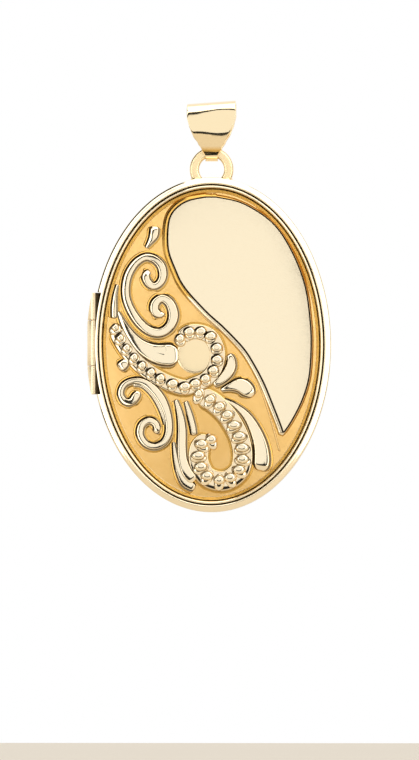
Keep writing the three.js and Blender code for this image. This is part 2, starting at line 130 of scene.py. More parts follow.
def hoop(name, near, far, start, sweep, radius, material):
    """A curved card round the lens axis, between two angles off that axis as seen from the locket.
    start and sweep say how far round it runs: 0 is to the right, 90 is overhead."""
    bm = bmesh.new()
    steps = 4
    places = [math.radians(near + (far - near) * i / steps) for i in range(steps + 1)]
    line = [bm.verts.new((radius * math.sin(a), -radius * math.cos(a), 0)) for a in places]
    edges = [bm.edges.new(pair) for pair in zip(line, line[1:])]
    turn = Matrix.Rotation(math.radians(-start), 3, "Y")
    bmesh.ops.rotate(bm, cent=(0, 0, 0), matrix=turn, verts=bm.verts)
    bmesh.ops.spin(bm, geom=line + edges, cent=(0, 0, 0), axis=(0, -1, 0), dvec=(0, 0, 0),
                   angle=math.radians(sweep), steps=48, use_merge=False, use_duplicate=False)
    bmesh.ops.translate(bm, vec=(0, PARTING_Y, CASE_Z), verts=bm.verts)
    obj = stage_piece(bm, name, material)
    obj.visible_camera = False
    obj.visible_shadow = False
    obj.visible_diffuse = False
    return obj


def stage_piece(bm, name, material):
    mesh = bpy.data.meshes.new(name)
    bm.to_mesh(mesh)
    bm.free()
    mesh.materials.append(material)
    obj = bpy.data.objects.new(name, mesh)
    bpy.context.scene.collection.objects.link(obj)
    return obj


def softbox(name, location, size, energy):
    data = bpy.data.lights.new(name, "AREA")
    data.shape = "RECTANGLE"
    data.size, data.size_y = size
    data.energy = energy
    obj = bpy.data.objects.new(name, data)
    obj.location = location
    aim = Vector((0, PARTING_Y, CASE_Z)) - Vector(location)
    obj.rotation_euler = aim.to_track_quat("-Z", "Y").to_euler()
    bpy.context.scene.collection.objects.link(obj)


def studio():
    scene = bpy.context.scene
    scene.view_settings.view_transform = "Standard"
    world = bpy.data.worlds.new("white_tent")
    world.use_nodes = True
    background = world.node_tree.nodes["Background"]
    background.inputs["Color"].default_value = (1, 1, 1, 1)
    background.inputs["Strength"].default_value = 1.0
    scene.world = world
    floor = plain_material("floor_white", (0.76, 0.68, 0.56), 0.7)
    card("floor", (0, 1.22, CASE_Z - 0.13), (4, 3), (0, 0, 1), floor)
    black = plain_material("flag_black", (0.008, 0.008, 0.008), 0.9)
    white = plain_material("ring_light", (0.8, 0.8, 0.8), 0.9)
    shader = white.node_tree.nodes["Principled BSDF"]
    shader.inputs["Emission Color"].default_value = (1, 1, 1, 1)
    shader.inputs["Emission Strength"].default_value = RING_LIGHT
    for hoops, material in ((LIGHT_HOOPS, white), (FLAG_HOOPS, black)):
        for shape in hoops:
            hoop(*shape, material)
    softbox("key", (0.25, -0.45, 0.3), (0.3, 0.3), 0.6)


# ---- Materials ----

def noise_at(tree, vector, scale, detail=3.0, roughness=0.5):
    node = tree.nodes.new("ShaderNodeTexNoise")
    node.inputs["Scale"].default_value = scale
    node.inputs["Detail"].default_value = detail
    node.inputs["Roughness"].default_value = roughness
    tree.links.new(vector, node.inputs["Vector"])
    return node.outputs["Fac"]


def group(name, inputs, outputs):
    tree = bpy.data.node_groups.new(name, "ShaderNodeTree")
    for socket, value in inputs.items():
        made = tree.interface.new_socket(socket, in_out="INPUT", socket_type="NodeSocketFloat")
        made.default_value = value
    for socket in outputs:
        tree.interface.new_socket(socket, in_out="OUTPUT", socket_type="NodeSocketFloat")
    return tree, tree.nodes.new("NodeGroupInput"), tree.nodes.new("NodeGroupOutput")


def calculate(tree, operation, *values):
    node = tree.nodes.new("ShaderNodeMath")
    node.operation = operation
    for socket, value in zip(node.inputs, values):
        if isinstance(value, (int, float)):
            socket.default_value = value
        else:
            tree.links.new(value, socket)
    return node.outputs[0]


def polish_group():
    """Faint waviness and hairlines left by a polishing wheel."""
    tree, source, result = group("polish_marks", {"Waviness": 1.0, "Hairlines": 1.0}, ["Height", "Wear"])
    place = tree.nodes.new("ShaderNodeTexCoord").outputs["Object"]
    wave = calculate(tree, "MULTIPLY", noise_at(tree, place, 700, 1.0), source.outputs["Waviness"])
    stretch = tree.nodes.new("ShaderNodeMapping")
    stretch.inputs["Rotation"].default_value = (0.0, 0.6, 0.3)
    stretch.inputs["Scale"].default_value = (1.0, 1.0, 14.0)
    tree.links.new(place, stretch.inputs["Vector"])
    hair = noise_at(tree, stretch.outputs["Vector"], 2200, 2.0, 0.6)
    fine = calculate(tree, "MULTIPLY", hair, source.outputs["Hairlines"])
    tree.links.new(calculate(tree, "ADD", wave, calculate(tree, "MULTIPLY", fine, 0.05)),
                   result.inputs["Height"])
    tree.links.new(calculate(tree, "POWER", hair, 3.0), result.inputs["Wear"])
    return tree


def grain_group():
    """The fine pitted grain of a blasted ground."""
    tree, source, result = group("blasted_grain", {"Size": 9000.0}, ["Height", "Tone"])
    place = tree.nodes.new("ShaderNodeTexCoord").outputs["Object"]
    pits = noise_at(tree, place, 9000, 4.0, 0.7)
    tree.links.new(source.outputs["Size"], pits.node.inputs["Scale"])
    tree.links.new(pits, result.inputs["Height"])
    tree.links.new(noise_at(tree, place, 600, 3.0), result.inputs["Tone"])
    return tree


def place_group(tree, shared, **values):
    node = tree.nodes.new("ShaderNodeGroup")
    node.node_tree = shared
    for name, value in values.items():
        node.inputs[name].default_value = value
    return node


def mix(tree, factor, low, high):
    node = tree.nodes.new("ShaderNodeMix")
    node.data_type = "RGBA"
    tree.links.new(factor, node.inputs["Factor"])
    for socket, value in ((node.inputs[6], low), (node.inputs[7], high)):
        if isinstance(value, tuple):
            socket.default_value = (*value, 1)
        else:
            tree.links.new(value, socket)
    return node.outputs[2]


def ramp(tree, value, low, high, to_low=0.0, to_high=1.0):
    node = tree.nodes.new("ShaderNodeMapRange")
    for name, number in (("From Min", low), ("From Max", high), ("To Min", to_low), ("To Max", to_high)):
        node.inputs[name].default_value = number
    tree.links.new(value, node.inputs["Value"])
    return node.outputs["Result"]


def bump(tree, shader, height, distance, strength=1.0):
    node = tree.nodes.new("ShaderNodeBump")
    node.inputs["Distance"].default_value = distance
    node.inputs["Strength"].default_value = strength
    tree.links.new(height, node.inputs["Height"])
    tree.links.new(node.outputs["Normal"], shader.inputs["Normal"])


BRIGHT_GOLD = (0.99, 0.86, 0.62)
WARM_GOLD = (0.98, 0.80, 0.52)
FIELD_GOLD = (0.93, 0.61, 0.235)
FIELD_DEEP = (0.87, 0.55, 0.19)
# The deeper tone at the foot of struck forms: painted shade from light bounced between them, mixed with
# antique toning.
RECESS_GOLD = (0.70, 0.40, 0.09)
# Near black painted into creases and the walls of forms as shade.
CREASE = (0.02, 0.012, 0.004)


def polished(name, colour=BRIGHT_GOLD, roughness=0.07, waviness=1.0, sunk=None):
    """Polished gold, with painted shade: near black along creases and walls where the recess attribute is
    set. On struck relief, sunk is the deeper tone at the foot of each form, painted shade mixed with
    antique toning."""
    material = bpy.data.materials.new(name)
    material.use_nodes = True
    tree = material.node_tree
    shader = tree.nodes["Principled BSDF"]
    shader.inputs["Metallic"].default_value = 1
    marks = place_group(tree, POLISH, Waviness=waviness, Hairlines=1.0)
    tone = ramp(tree, marks.outputs["Wear"], 0.0, 0.5)
    warm = tuple(part * share for part, share in zip(colour, (0.99, 0.965, 0.93)))
    base = mix(tree, tone, colour, warm)
    rough = ramp(tree, marks.outputs["Wear"], 0.0, 0.5, roughness, roughness + 0.07)
    if sunk:
        # Painted shade mixed with antique toning: low rise mixes in the deeper sunk tone.
        rise = attribute(tree, "rise")
        base = mix(tree, ramp(tree, rise, 0.1, 0.9), sunk, base)
        rough = calculate(tree, "ADD", rough, ramp(tree, rise, 0.0, 0.3, 0.14, 0.0))
    # Painted shade: the recess attribute mixes the colour towards near black.
    recess = attribute(tree, "recess")
    base = mix(tree, recess, base, CREASE)
    rough = calculate(tree, "ADD", rough, calculate(tree, "MULTIPLY", recess, 0.4))
    tree.links.new(base, shader.inputs["Base Color"])
    tree.links.new(rough, shader.inputs["Roughness"])
    bump(tree, shader, marks.outputs["Height"], 0.00001)
    return material


def attribute(tree, name):
    node = tree.nodes.new("ShaderNodeAttribute")
    node.attribute_name = name
    return node.outputs["Fac"]


def satin(name, colour, deep, roughness, grain):
    material = bpy.data.materials.new(name)
    material.use_nodes = True
    tree = material.node_tree
    shader = tree.nodes["Principled BSDF"]
    shader.inputs["Metallic"].default_value = 1
    surface = place_group(tree, GRAIN, Size=9000.0)
    tree.links.new(mix(tree, ramp(tree, surface.outputs["Tone"], 0.3, 0.7), deep, colour),
                   shader.inputs["Base Color"])
    tree.links.new(ramp(tree, surface.outputs["Height"], 0.2, 0.8, roughness - 0.06, roughness + 0.08),
                   shader.inputs["Roughness"])
    bump(tree, shader, surface.outputs["Height"], grain)
    return material


def clear_film():
    material = plain_material("clear_film", (0.97, 0.98, 0.98), 0.04)
    shader = material.node_tree.nodes["Principled BSDF"]
    shader.inputs["Transmission Weight"].default_value = 1.0
    shader.inputs["IOR"].default_value = 1.45
    return material


def card_stock():
    material = bpy.data.materials.new("card_stock")
    material.use_nodes = True
    tree = material.node_tree
    shader = tree.nodes["Principled BSDF"]
    place = tree.nodes.new("ShaderNodeTexCoord").outputs["Object"]
    fibres = noise_at(tree, place, 5000, 5.0, 0.7)
    tree.links.new(mix(tree, fibres, (0.83, 0.80, 0.72), (0.93, 0.91, 0.85)), shader.inputs["Base Color"])
    tree.links.new(ramp(tree, fibres, 0.2, 0.8, 0.75, 0.9), shader.inputs["Roughness"])
    bump(tree, shader, fibres, 0.00001)
    return material


# ---- Making pieces ----

def keep_sharp(bm, angle=38):
    for edge in bm.edges:
        edge.smooth = len(edge.link_faces) == 2 and edge.calc_face_angle(0) < math.radians(angle)
    for face in bm.faces:
        face.smooth = True


def to_object(bm, name):
    bmesh.ops.remove_doubles(bm, verts=bm.verts, dist=1e-4)
    bmesh.ops.recalc_face_normals(bm, faces=bm.faces)
    mesh = bpy.data.meshes.new(name)
    bm.to_mesh(mesh)
    bm.free()
    obj = bpy.data.objects.new(name, mesh)
    bpy.context.scene.collection.objects.link(obj)
    return obj


def combine(obj, other, operation="DIFFERENCE"):
    """Cuts other out of obj, or joins it on, and keeps the result as plain mesh."""
    modifier = obj.modifiers.new("cut", "BOOLEAN")
    modifier.operation = operation
    modifier.solver = "EXACT"
    modifier.object = other
    bpy.context.view_layer.update()
    depsgraph = bpy.context.evaluated_depsgraph_get()
    mesh = bpy.data.meshes.new_from_object(obj.evaluated_get(depsgraph))
    obj.modifiers.clear()
    spare, obj.data = obj.data, mesh
    bpy.data.meshes.remove(spare)
    bpy.data.objects.remove(other)
    return obj


def finish(obj, material, body, replaces=(), sharp=38):
    """Puts a piece drawn in millimetres into place and hangs it on its body."""
    bm = bmesh.new()
    bm.from_mesh(obj.data)
    bmesh.ops.remove_doubles(bm, verts=bm.verts, dist=1e-5)
    bmesh.ops.holes_fill(bm, edges=[edge for edge in bm.edges if edge.is_boundary], sides=0)
    bmesh.ops.scale(bm, vec=(MM, MM, MM), verts=bm.verts)
    bmesh.ops.translate(bm, vec=(0, PARTING_Y, CASE_Z), verts=bm.verts)
    keep_sharp(bm, sharp)
    bm.to_mesh(obj.data)
    bm.free()
    obj.data.materials.clear()
    obj.data.materials.append(material)
    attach(obj, body)
    if replaces:
        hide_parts(*replaces)
    return obj


def chain(bm, points, closed=True):
    verts = [bm.verts.new(point) for point in points]
    pairs = list(zip(verts, verts[1:]))
    if closed:
        pairs.append((verts[-1], verts[0]))
    return verts + [bm.edges.new(pair) for pair in pairs]


def spun(points, steps, closed=True):
    bm = bmesh.new()
    geometry = chain(bm, points, closed)
    bmesh.ops.spin(bm, geom=geometry, cent=(0, 0, 0), axis=(0, 1, 0), dvec=(0, 0, 0),
                   angle=2 * math.pi, steps=steps, use_merge=True, use_duplicate=False)
    return bm


OVAL_STEPS = 288


def oval_ring(section, side):
    """A closed section of (inset, height) points carried round the oval."""
    bm = spun([(HALF_HEIGHT - inset, side * height, 0) for inset, height in section], OVAL_STEPS)
    for vert in bm.verts:
        radius = math.hypot(vert.co.x, vert.co.z)
        vert.co.x *= (radius + HALF_WIDTH - HALF_HEIGHT) / radius
    return bm


def oval_turned(profile, inset, side, steps=OVAL_STEPS):
    """A turned body stretched to the oval: (share of the half width, height) points, axis to axis."""
    bm = spun([(share, side * height, 0) for share, height in profile], steps, closed=False)
    bmesh.ops.scale(bm, vec=(HALF_WIDTH - inset, 1, HALF_HEIGHT - inset), verts=bm.verts)
    bmesh.ops.remove_doubles(bm, verts=bm.verts, dist=1e-4)
    return bm


def arc(centre, radii, start, end, count):
    """Points along an elliptic arc, angles in degrees."""
    angles = [math.radians(start + (end - start) * i / (count - 1)) for i in range(count)]
    return [(centre[0] + radii[0] * math.cos(a), centre[1] + radii[1] * math.sin(a)) for a in angles]


def rod(radius, x, y, low, high, segments=64, edge=0.0):
    """A round bar along z, its ends softened by edge."""
    bm = bmesh.new()
    bmesh.ops.create_cone(bm, cap_ends=True, segments=segments, radius1=radius, radius2=radius,
                          depth=high - low)
    if edge:
        rims = [e for e in bm.edges if abs(e.verts[0].co.z - e.verts[1].co.z) < 1e-6]
        bmesh.ops.bevel(bm, geom=rims, offset=edge, offset_type="OFFSET", affect="EDGES", segments=3,
                        profile=0.5, material=-1)
    bmesh.ops.translate(bm, vec=(x, y, (low + high) / 2), verts=bm.verts)
    return bm


def block(x, y, z, edge=0.0):
    bm = bmesh.new()
    bmesh.ops.create_cube(bm, size=1)
    bmesh.ops.scale(bm, vec=(x[1] - x[0], y[1] - y[0], z[1] - z[0]), verts=bm.verts)
    bmesh.ops.translate(bm, vec=((x[0] + x[1]) / 2, (y[0] + y[1]) / 2, (z[0] + z[1]) / 2), verts=bm.verts)
    if edge:
        bmesh.ops.bevel(bm, geom=list(bm.edges), offset=edge, offset_type="OFFSET", affect="EDGES",
                        segments=2, profile=0.5, material=-1)
    return bm


def oval_plug(inset, depth=CUT_DEPTH):
    """A solid oval slab across the parting plane, for cutting with."""
    return oval_turned([(0, -depth), (1, -depth), (1, depth), (0, depth)], inset, BACK)


# ---- Case ----

HINGE_TOP, HINGE_BOTTOM = 5.01, -4.69
HINGE_GAP = 0.06
HINGE_END_WALL = 0.42
KNUCKLES = {"lower": (HINGE_BOTTOM, -2.02), "middle": (-1.96, 2.36), "upper": (2.42, HINGE_TOP)}
PIN_RADIUS, PIN_BORE_RADIUS, PIN_SHORT = 0.17, 0.2, 0.45
# The snap, inset from the outline: a tongue with a lip, and the ledge it passes under.
TONGUE_INSET, TONGUE_DEPTH, SNAP_HALF = (1.12, 0.86), 0.5, 1.6
TONGUE_SLOT_INSET, TONGUE_SLOT_DEPTH, TONGUE_SLOT_HALF = (1.22, 0.81), 0.6, 1.65
LIP_RADIUS, LIP_INSET, LIP_HEIGHT = 0.09, 0.91, 0.38
LEDGE_INSET, LEDGE_SPAN, LEDGE_HALF = (0.8, 0.5), (0.08, 0.24), 1.5
LEDGE_SLOT_INSET, LEDGE_SLOT_SPAN, LEDGE_SLOT_HALF = (0.83, 0.47), (-0.1, 0.27), 1.53
NAIL_GROOVE_RADIUS, NAIL_GROOVE_HALF, NAIL_GROOVE_OUT = 0.32, 1.9, 0.1
KNUCKLE_RADIUS = 0.66
HINGE_SEAT_RADIUS = 0.7
FILED_BACK = 0.4
STAND_OUT = 0.52

FRONT_MOULDING = [
    (0.0, 1.34), (0.012, 1.40), (0.035, 1.445), (0.07, 1.475), (0.11, 1.495), (0.2, 1.527), (0.3, 1.562),
    (0.4, 1.6), (0.48, 1.63), (0.535, 1.645), (0.585, 1.635), (0.62, 1.595), (0.65, 1.50), (0.668, 1.36),
    (0.684, 1.31), (0.70, 1.31),
    *arc((0.885, 1.34), (0.17, 0.27), 172, 8, 15), (1.06, 1.18), (1.10, 1.18), (1.115, 1.31), (1.15, 1.345),
]
BACK_MOULDING = [*arc((0.40, 1.24), (0.40, 0.42), 180, 30, 14), (0.80, 1.36), (0.84, 1.36),
                 *arc((1.0, 1.37), (0.15, 0.10), 170, 20, 8)]
GROOVES = {FRONT: ((0.69, 0.04), (1.075, 0.035)), BACK: ((0.82, 0.02),)}  # inset, half width
MOULDING_FROM = 1.0  # height where the rims' mouldings start
FLANGE_FROM = 1.13  # inset where the front rim's flange starts
FLANGE_TONE = 0.03


def flange(start):
    """The sloping inner flange, with three fine turned lines."""
    count, foot, line_depth = 18, 1.28, 0.012
    points = []
    for i in range(1, count + 1):
        share = i / count
        inset = start[0] + (PANEL_INSET - SOLDER_GAP - start[0]) * share
        height = start[1] + (foot - start[1]) * share
        points.append((inset, height + line_depth * math.sin(6 * math.pi * share)))
    return points


def inset_at(x, z):
    """How far inside the case's outline a point lies."""
    low, high = -1.0, HALF_WIDTH - 0.1
    for _ in range(30):
        middle = (low + high) / 2
        if math.hypot(x / (HALF_WIDTH - middle), z / (HALF_HEIGHT - middle)) < 1:
            low = middle
        else:
            high = middle
    return low


def shade_grooves(obj, side):
    """Paints the bottoms of a rim's turned grooves near black as shade, and gives the front rim's inner
    flange the deeper sunk tone.
    """
    recess = obj.data.attributes.new("recess", "FLOAT", "POINT")
    rise = obj.data.attributes.new("rise", "FLOAT", "POINT")
    for vert, crease, crest in zip(obj.data.vertices, recess.data, rise.data):
        x, y, z = vert.co
        crest.value = 1.0
        if side * y > MOULDING_FROM:
            inset = inset_at(x, z)
            nearest = min(max(0, abs(inset - place) - half) for place, half in GROOVES[side])
            # Painted shade: near black at the groove bottoms, fading out over 0.02 mm.
            crease.value = max(0, 1 - nearest / 0.02)
            # The inner flange takes the deeper sunk tone, painted shade mixed with antique toning.
            if inset > FLANGE_FROM and side == FRONT:
                crest.value = FLANGE_TONE


def rim_section(moulding):
    seat = PANEL_EDGE - SHEET - SOLDER_GAP
    over_holder = HOLDER_TOP + 0.04
    inside = [
        (PANEL_INSET - SOLDER_GAP, seat), (CARD_INSET + 0.3, seat), (CARD_INSET + 0.3, over_holder),
        (HOLDER_INSET - SOLDER_GAP, over_holder), (HOLDER_INSET - SOLDER_GAP, PARTING_GAP + 0.03),
        (HOLDER_INSET - 0.06, PARTING_GAP),
    ]
    outside = [(0.10, PARTING_GAP), (0.03, PARTING_GAP + 0.03), (0, 0.13)]
    return [*outside, *moulding, *flange(moulding[-1]), *inside]


def at_inset(insets):
    """Places across the case's right side, from insets."""
    return [HALF_WIDTH - inset for inset in insets]


def rim(name, moulding, side):
    hinge = (HINGE_BOTTOM - HINGE_GAP, HINGE_TOP + HINGE_GAP)
    body = to_object(oval_ring(rim_section(moulding), side), name)
    combine(body, to_object(rod(HINGE_SEAT_RADIUS, PIN_X, 0, *hinge), "seat"))
    strip = to_object(block((PIN_X - 2, PIN_X + 2), (-3, 3), hinge), "strip")
    combine(strip, to_object(oval_plug(FILED_BACK), "plug"))
    combine(body, strip)
    slot_y = sorted((0, side * TONGUE_SLOT_DEPTH))
    slot = block(at_inset(TONGUE_SLOT_INSET), slot_y, (-TONGUE_SLOT_HALF, TONGUE_SLOT_HALF))
    combine(body, to_object(slot, "slot"))
    groove = rod(NAIL_GROOVE_RADIUS, HALF_WIDTH + NAIL_GROOVE_OUT, 0, -NAIL_GROOVE_HALF, NAIL_GROOVE_HALF,
                 segments=32, edge=0.15)
    return combine(body, to_object(groove, "nail_groove"))


def back_sheet():
    top = PANEL_EDGE + BACK_RISE
    turn = arc((BACK_FLAT, top - 0.34), (0.34, 0.34), 90, 12, 16)
    outer = [(0, top), (0.3, top), (BACK_FLAT, top), *turn[1:], (0.985, top - 0.48), (1, PANEL_EDGE)]
    inner = [(share, height - SHEET) for share, height in reversed(outer)]
    return to_object(oval_turned([*outer, *inner], PANEL_INSET, BACK), "back_panel_sheet")


def holder(name, side):
    """The snap-in picture holder: a flat rim with a rolled lip round its window and a skirt behind."""
    section = [
        (1.21, 0.10), (1.55, 0.10), (1.60, 0.125), (1.66, 0.125), (1.71, 0.10), (2.55, 0.10),
        *arc((2.76, 0.155), (0.16, 0.085), 200, 360, 8), (2.92, 0.24), (2.86, 0.30),
        (1.45, 0.30), (1.45, HOLDER_TOP), (1.20, HOLDER_TOP), (1.18, 0.55), (1.18, 0.13),
    ]
    return to_object(oval_ring(section, side), name)


def knuckle(name, low, high):
    tube = to_object(rod(KNUCKLE_RADIUS, PIN_X, 0, low, high, 96, 0.035), name)
    bore_low = max(low - 1, HINGE_BOTTOM + HINGE_END_WALL)
    bore_high = min(high + 1, HINGE_TOP - HINGE_END_WALL)
    combine(tube, to_object(rod(PIN_BORE_RADIUS, PIN_X, 0, bore_low, bore_high, 32), "bore"))
    combine(tube, to_object(oval_plug(-STAND_OUT), "filing"), "INTERSECT")
    # Painted shade: the knuckle darkens towards near black on the side that meets the rim.
    recess = tube.data.attributes.new("recess", "FLOAT", "POINT")
    for vert, value in zip(tube.data.vertices, recess.data):
        value.value = max(0.0, min(0.9, (vert.co.x - PIN_X - 0.08) / 0.09))
    return tube


def gold(obj, material, half, *replaces):
    """Finishes a polished piece of the case and hides the imported nodes it stands for."""
    finish(obj, MATERIALS[material], half, replaces)


def case():
    front_rim = rim("front_rim_moulding", FRONT_MOULDING, FRONT)
    shade_grooves(front_rim, FRONT)
    gold(front_rim, "rim", "front_half", "front_rim")
    back_rim = rim("back_rim_moulding", BACK_MOULDING, BACK)
    slot = block(at_inset(LEDGE_SLOT_INSET), LEDGE_SLOT_SPAN, (-LEDGE_SLOT_HALF, LEDGE_SLOT_HALF))
    combine(back_rim, to_object(slot, "ledge_slot"))
    shade_grooves(back_rim, BACK)
    gold(back_rim, "rim", "back_half", "back_rim")
    gold(back_sheet(), "plain_back", "back_half", "back_panel")
    for side, half in ((FRONT, "front"), (BACK, "back")):
        gold(holder(half + "_picture_holder", side), "holder", half + "_half", half + "_photo_frame")
    for place, (low, high) in KNUCKLES.items():
        half = "front_half" if place == "middle" else "back_half"
        gold(knuckle(place + "_knuckle", low, high), "hinge", half, "hinge_knuckle_" + place)
    wire = rod(PIN_RADIUS, PIN_X, 0, HINGE_BOTTOM + PIN_SHORT, HINGE_TOP - PIN_SHORT, 32, 0.03)
    gold(to_object(wire, "hinge_wire"), "hinge", "back_half", "hinge_pin")
    blade = block(at_inset(TONGUE_INSET), (-TONGUE_DEPTH, TONGUE_DEPTH), (-SNAP_HALF, SNAP_HALF), 0.04)
    tongue = to_object(blade, "tongue")
    lip = rod(LIP_RADIUS, HALF_WIDTH - LIP_INSET, LIP_HEIGHT, -LEDGE_HALF, LEDGE_HALF, 24, 0.04)
    combine(tongue, to_object(lip, "lip"), "UNION")
    gold(tongue, "hinge", "front_half", "snap_tongue")
    ledge = block(at_inset(LEDGE_INSET), LEDGE_SPAN, (-LEDGE_HALF, LEDGE_HALF), 0.03)
    gold(to_object(ledge, "ledge"), "hinge", "back_half", "catch_ledge")


# ---- Front sheet ----

def field():
    steps = 24
    upper = [(i / steps, PANEL_EDGE + DOME * (1 - (i / steps) ** 2)) for i in range(steps + 1)]
    lower = [(share, height - SHEET) for share, height in reversed(upper)]
    sheet = to_object(oval_turned([*upper, *lower], PANEL_INSET, FRONT), "front_field")
    finish(sheet, MATERIALS["field"], "front_half", ["front_panel"])


def smooth_path(points, spacing):
    """Evenly placed points on a smooth curve through the given ones, any number of values each."""
    fine = []
    ends = [points[0], *points, points[-1]]
    for p0, p1, p2, p3 in zip(ends, ends[1:], ends[2:], ends[3:]):
        for i in range(24):
            t = i / 24
            fine.append(tuple(
                0.5 * (2 * b + (c - a) * t + (2 * a - 5 * b + 4 * c - d) * t * t
                       + (3 * b - a - 3 * c + d) * t ** 3)
                for a, b, c, d in zip(p0, p1, p2, p3)))
    fine.append(tuple(points[-1]))
    lengths = [0.0]
    for a, b in zip(fine, fine[1:]):
        lengths.append(lengths[-1] + math.dist(a[:2], b[:2]))
    count = max(2, round(lengths[-1] / spacing))
    path, k = [], 0
    for i in range(count + 1):
        goal = lengths[-1] * i / count
        while k < len(fine) - 2 and lengths[k + 1] < goal:
            k += 1
        span = (lengths[k + 1] - lengths[k]) or 1.0
        t = min(1.0, (goal - lengths[k]) / span)
        path.append(tuple(a + (b - a) * t for a, b in zip(fine[k], fine[k + 1])))
    return path, lengths[-1]


# Half a struck ridge's cross-section, from the crest outwards. Each point has a share of the
# ridge's half width, a distance beyond it, a share of its height, a height above the ground, how
# dark the painted crease shade is there, and whether the metal is bright (1) or takes the deeper
# sunk tone (0), painted shade mixed with antique toning.
RIDGE = [
    (0, 0, 1, 0, 0, 1), (0.3, 0, 0.995, 0, 0, 1), (0.55, 0, 0.975, 0, 0, 1), (0.74, 0, 0.95, 0, 0, 1),
    (0.86, 0, 0.915, 0, 0, 1), (0.93, 0, 0.81, 0, 0.2, 1), (0.965, 0, 0.6, 0.01, 1, 1),
    (1, 0.02, 0.25, 0.02, 1, 1), (1, 0.07, 0, 0.045, 1, 1), (1, 0.11, 0, 0.04, 0.7, 0.4),
    (1, 0.14, 0, 0.045, 0, 0.3), (1, 0.19, 0, 0.038, 0, 0.15), (1, 0.25, 0, 0.022, 0, 0),
    (1, 0.32, 0, 0.012, 0.2, 0), (1, 0.36, 0, -0.06, 0.3, 0), (1, 0.36, 0, -0.13, 0, 0),
]
RIBBON = [
    (0, 0, 1, 0, 0, 0.8), (0.5, 0, 1, 0, 0, 0.8), (0.85, 0, 0.97, 0, 0, 0.8),
    (0.95, 0, 0.8, 0, 0.1, 0.4), (1, 0.01, 0.4, 0, 0.5, 0.2), (1, 0.04, 0, 0.03, 0.4, 0.1),
    (1, 0.12, 0, 0.02, 0, 0), (1, 0.22, 0, 0.012, 0, 0), (1, 0.25, 0, -0.06, 0, 0),
    (1, 0.25, 0, -0.13, 0, 0),
]
FOLD = [(0, 0, 1, 0, 0, 1), (0.5, 0, 0.98, 0, 0, 1), (0.85, 0, 0.93, 0, 0, 1), (1, 0, 0.86, 0, 0.9, 1),
        (1, 0.03, 0.7, 0, 0.9, 1), (1, 0.05, 0, -0.1, 0.2, 1)]
SCORE = [(0, 0, 1, 0, 1, 1), (0.6, 0, 0.99, 0, 1, 1), (1, 0, 0.95, 0, 0.7, 1), (1, 0.02, 0, 0, 0, 1)]
LINE = [
    (0, 0, 1, 0, 0, 0.4), (0.6, 0, 0.8, 0, 0, 0.2), (1, 0, 0.2, 0, 0.3, 0),
    (1, 0.04, 0, -0.06, 0, 0), (1, 0.04, 0, -0.13, 0, 0),
]
RIDGE_SPACING = 0.09
SWELL = 1.08  # struck ridges are this much wider than their stations
FOOT = 0.36  # room that a ridge's full foot needs inside a bend
PAINTED_SHADE_FACING = Vector((-0.6, 0.8))  # walls that face this way, up and to the left, get the darkest painted shade
# Ridge walls facing that way, out to WIDE_CREASE beyond the crest, are painted fully dark as shade.
WIDE_CREASE, WIDE_CREASE_FACING = 0.16, 0.35
ORNAMENT_SHIFT = (-0.07, -0.11, 0)
RELIEF_ROOT = 0.15  # how far relief reaches into the sheet


def ridge(bm, stations, height, profile=RIDGE):
    """A ridge swept along (x, z, half width) stations, lying flat with its crest towards +z and
    both ends rounded."""
    path, total = smooth_path(stations, RIDGE_SPACING)
    rows, section = len(path), [*profile, *reversed(profile[1:])]
    columns = len(section)
    rise, recess = layers(bm)
    made = bmesh.ops.create_grid(bm, x_segments=columns, y_segments=rows - 1, size=1)["verts"]
    for vert in made:
        column = round((vert.co.x + 1) / 2 * columns) % columns
        row = round((vert.co.y + 1) / 2 * (rows - 1))
        x, z, half = path[row]
        before, after = path[max(0, row - 1)], path[min(rows - 1, row + 1)]
        along = Vector((after[0] - before[0], after[1] - before[1])).normalized()
        half *= SWELL
        reach = total * row / (rows - 1)
        squeeze = 1.0
        for distance in (reach, total - reach):
            if distance < half:
                squeeze *= math.sqrt(max(0.004, 1 - (1 - distance / half) ** 2))
        share, beyond, part, lift, crease, tone = section[column]
        tight = foot_room(path, row, half)
        out = (share * half + beyond * tight) * squeeze
        if column >= len(profile):
            out = -out
        top = height * math.tanh(half / height) * squeeze
        vert.co = (x - along.y * out, z + along.x * out, part * top + lift)
        outward = Vector((-along.y, along.x)) * (-1 if column >= len(profile) else 1)
        # Painted shade: walls facing up and to the left get a wider, darker crease.
        facing = outward.dot(PAINTED_SHADE_FACING)
        if profile is RIDGE and facing > WIDE_CREASE_FACING and 0 < beyond < WIDE_CREASE:
            crease = 1
        vert[rise], vert[recess] = tone, min(1.0, crease * (0.9 + 0.2 * facing))
    bmesh.ops.remove_doubles(bm, verts=made, dist=1e-5)
    open_edges = [edge for edge in bm.edges if edge.is_boundary]
    bmesh.ops.holes_fill(bm, edges=open_edges, sides=0)


def foot_room(path, row, half):
    """The share of a ridge's foot that fits inside the bend at a row."""
    near, far = path[max(0, row - 3)], path[min(len(path) - 1, row + 3)]
    middle = path[row]
    a, b, c = math.dist(near[:2], middle[:2]), math.dist(middle[:2], far[:2]), math.dist(near[:2], far[:2])
    area = abs((middle[0] - near[0]) * (far[1] - near[1]) - (far[0] - near[0]) * (middle[1] - near[1])) / 2
    radius = a * b * c / (4 * area) if area > 1e-6 else 100
    return max(0.3, min(1.0, (radius - half) / FOOT))


def layers(bm):
    """The two painted shading values kept on struck work: bright or deeper sunk tone (painted shade mixed
    with antique toning), and near-black painted creases.
    """
    for name in ("rise", "recess"):
        if name not in bm.verts.layers.float:
            bm.verts.layers.float.new(name)
    return bm.verts.layers.float["rise"], bm.verts.layers.float["recess"]


def lay_on_dome(bm):
    for vert in bm.verts:
        x, z, height = vert.co
        vert.co = (x, -(dome(x, z) + max(height, -RELIEF_ROOT)), z)


def relief(name, bm, material, sharp=60, moved=ORNAMENT_SHIFT):
    """Bends flat relief over the dome and hangs it on the cover."""
    bmesh.ops.translate(bm, vec=moved, verts=bm.verts)
    lay_on_dome(bm)
    return finish(to_object(bm, name), material, "front_half", sharp=sharp)


